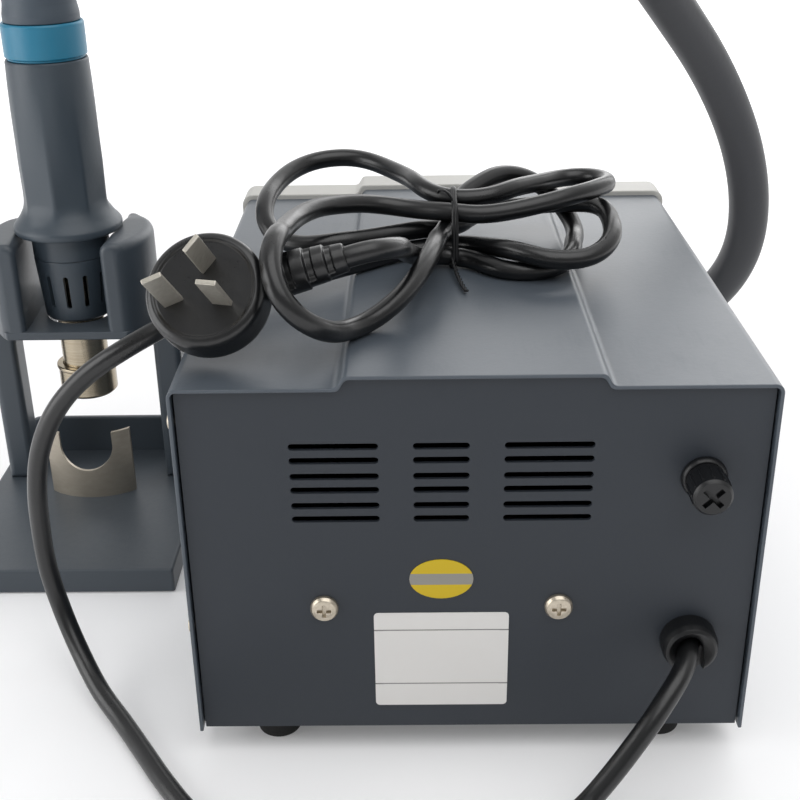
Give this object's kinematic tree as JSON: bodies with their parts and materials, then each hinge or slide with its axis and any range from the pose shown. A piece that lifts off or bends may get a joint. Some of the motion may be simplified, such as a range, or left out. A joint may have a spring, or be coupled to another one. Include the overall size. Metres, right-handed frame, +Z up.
{
  "type": "hot air rework station",
  "caption": "Hot air rework station: sheet metal case with blower and display, heater handle resting in a cradle stand, air hose, mains lead and plug.",
  "frame": {"origin": "table level under the middle of the floor area that the case with its fittings and the stand cover, cords left out", "axes": "+X from the case towards the stand, +Y to the rear of the case, +Z up"},
  "size_m": [0.3953, 0.4306, 0.3675],
  "materials": {
    "cover_paint": "satin blue-grey powder coat",
    "panel_paint": "matt dark grey powder coat",
    "bezel_plastic": "fine textured off-white moulding",
    "panel_film": "matt off-white panel",
    "window_tint": "dark red tinted window",
    "black_plastic": "fine satin black moulding",
    "circuit_board": "green solder resist",
    "screw_nickel": "nickel plated",
    "sink_aluminium": "extruded",
    "core_lacquer": "varnished steel laminations and coil",
    "motor_steel": "zinc plated",
    "wheel_plastic": "natural moulding",
    "foot_rubber": "matt",
    "fuse_glass": "clear",
    "label_film": "white film, unprinted but for two ruled lines",
    "sticker_yellow": "yellow film with a grey band",
    "key_plastic": "light moulding",
    "stand_paint": "satin slate grey",
    "rest_steel": "brushed, warm",
    "grip_plastic": "satin slate grey moulding",
    "ring_teal": "teal moulding",
    "sleeve_rubber": "satin",
    "tube_steel": "heat tinted stainless",
    "ceramic_white": "matt",
    "hose_rubber": "satin silicone",
    "lead_rubber": "satin",
    "blade_nickel": "nickel plated"
  },
  "bodies": {
    "station": {"cover": "cover_paint", "base_pan": "panel_paint", "rear_panel": "panel_paint", "front_bezel": "bezel_plastic", "front_panel": "panel_film", "display_window": "window_tint", "display_module": "black_plastic", "control_board": "circuit_board", "board_pillars": "screw_nickel", "key_switches": "black_plastic", "power_board": "circuit_board", "heat_sink": "sink_aluminium", "transformer": "core_lacquer", "blower_housing": "black_plastic", "blower_motor": "motor_steel", "air_duct": "black_plastic", "hose_socket": "black_plastic", "feet": "foot_rubber", "panel_screws": "screw_nickel", "side_screws": "screw_nickel", "fuse_holder": "black_plastic", "fuse": "fuse_glass", "cable_gland": "black_plastic", "rating_label": "label_film", "oval_sticker": "sticker_yellow", "power_switch": "black_plastic", "stand_base": "stand_paint", "stand_pads": "foot_rubber", "stand_arch": "stand_paint", "cradle": "stand_paint", "nozzle_rest": "rest_steel", "hose": "hose_rubber", "mains_lead": "lead_rubber", "cord_hank": "lead_rubber", "plug_lead": "lead_rubber", "plug_body": "lead_rubber", "plug_blades": "blade_nickel", "cord_tie": "lead_rubber"},
    "rocker": {"power_rocker": "black_plastic"},
    "key_channel_1": {"channel_key_1": "key_plastic"},
    "key_channel_2": {"channel_key_2": "key_plastic"},
    "key_channel_3": {"channel_key_3": "key_plastic"},
    "key_heat_up": {"heat_up_key": "key_plastic"},
    "key_heat_down": {"heat_down_key": "key_plastic"},
    "key_air_up": {"air_up_key": "key_plastic"},
    "key_air_down": {"air_down_key": "key_plastic"},
    "blower_wheel": {"impeller": "wheel_plastic"},
    "cap": {"fuse_cap": "black_plastic"},
    "nozzle_body": {"nozzle": "tube_steel"},
    "handle": {"grip": "grip_plastic", "grip_ring": "ring_teal", "tail_sleeve": "sleeve_rubber", "heat_collar": "grip_plastic", "heater_tube": "tube_steel", "heater_core": "ceramic_white", "core_socket": "ceramic_white"}
  },
  "joints": [
    {"name": "handle_lift", "type": "slide", "parent": "station", "child": "handle", "axis": [0, 0, 1], "range_m": [0, 0.09], "deforming": ["hose"]},
    {"name": "nozzle_pull", "type": "slide", "parent": "handle", "child": "nozzle_body", "axis": [0, 0, -1], "range_m": [0, 0.02]},
    {"name": "power_rocker", "type": "hinge", "parent": "station", "child": "rocker", "pos_m": [0.0005, -0.1064, 0.038], "axis": [1, 0, 0], "range_deg": [0, 20]},
    {"name": "channel_key_1", "type": "slide", "parent": "station", "child": "key_channel_1", "axis": [0, 1, 0], "range_m": [0, 0.001], "stiffness_N_per_m": 500, "springref_m": -0.0005},
    {"name": "channel_key_2", "type": "slide", "parent": "station", "child": "key_channel_2", "axis": [0, 1, 0], "range_m": [0, 0.001], "stiffness_N_per_m": 500, "springref_m": -0.0005},
    {"name": "channel_key_3", "type": "slide", "parent": "station", "child": "key_channel_3", "axis": [0, 1, 0], "range_m": [0, 0.001], "stiffness_N_per_m": 500, "springref_m": -0.0005},
    {"name": "heat_up_key", "type": "slide", "parent": "station", "child": "key_heat_up", "axis": [0, 1, 0], "range_m": [0, 0.001], "stiffness_N_per_m": 500, "springref_m": -0.0005},
    {"name": "heat_down_key", "type": "slide", "parent": "station", "child": "key_heat_down", "axis": [0, 1, 0], "range_m": [0, 0.001], "stiffness_N_per_m": 500, "springref_m": -0.0005},
    {"name": "air_up_key", "type": "slide", "parent": "station", "child": "key_air_up", "axis": [0, 1, 0], "range_m": [0, 0.001], "stiffness_N_per_m": 500, "springref_m": -0.0005},
    {"name": "air_down_key", "type": "slide", "parent": "station", "child": "key_air_down", "axis": [0, 1, 0], "range_m": [0, 0.001], "stiffness_N_per_m": 500, "springref_m": -0.0005},
    {"name": "blower_spin", "type": "hinge", "parent": "station", "child": "blower_wheel", "pos_m": [-0.0575, -0.026, 0.042], "axis": [0, 0, 1], "continuous": true},
    {"name": "fuse_cap_turn", "type": "hinge", "parent": "station", "child": "cap", "pos_m": [-0.134, 0.125, 0.1085], "axis": [0, 1, 0], "range_deg": [0, 90]}
  ]
}
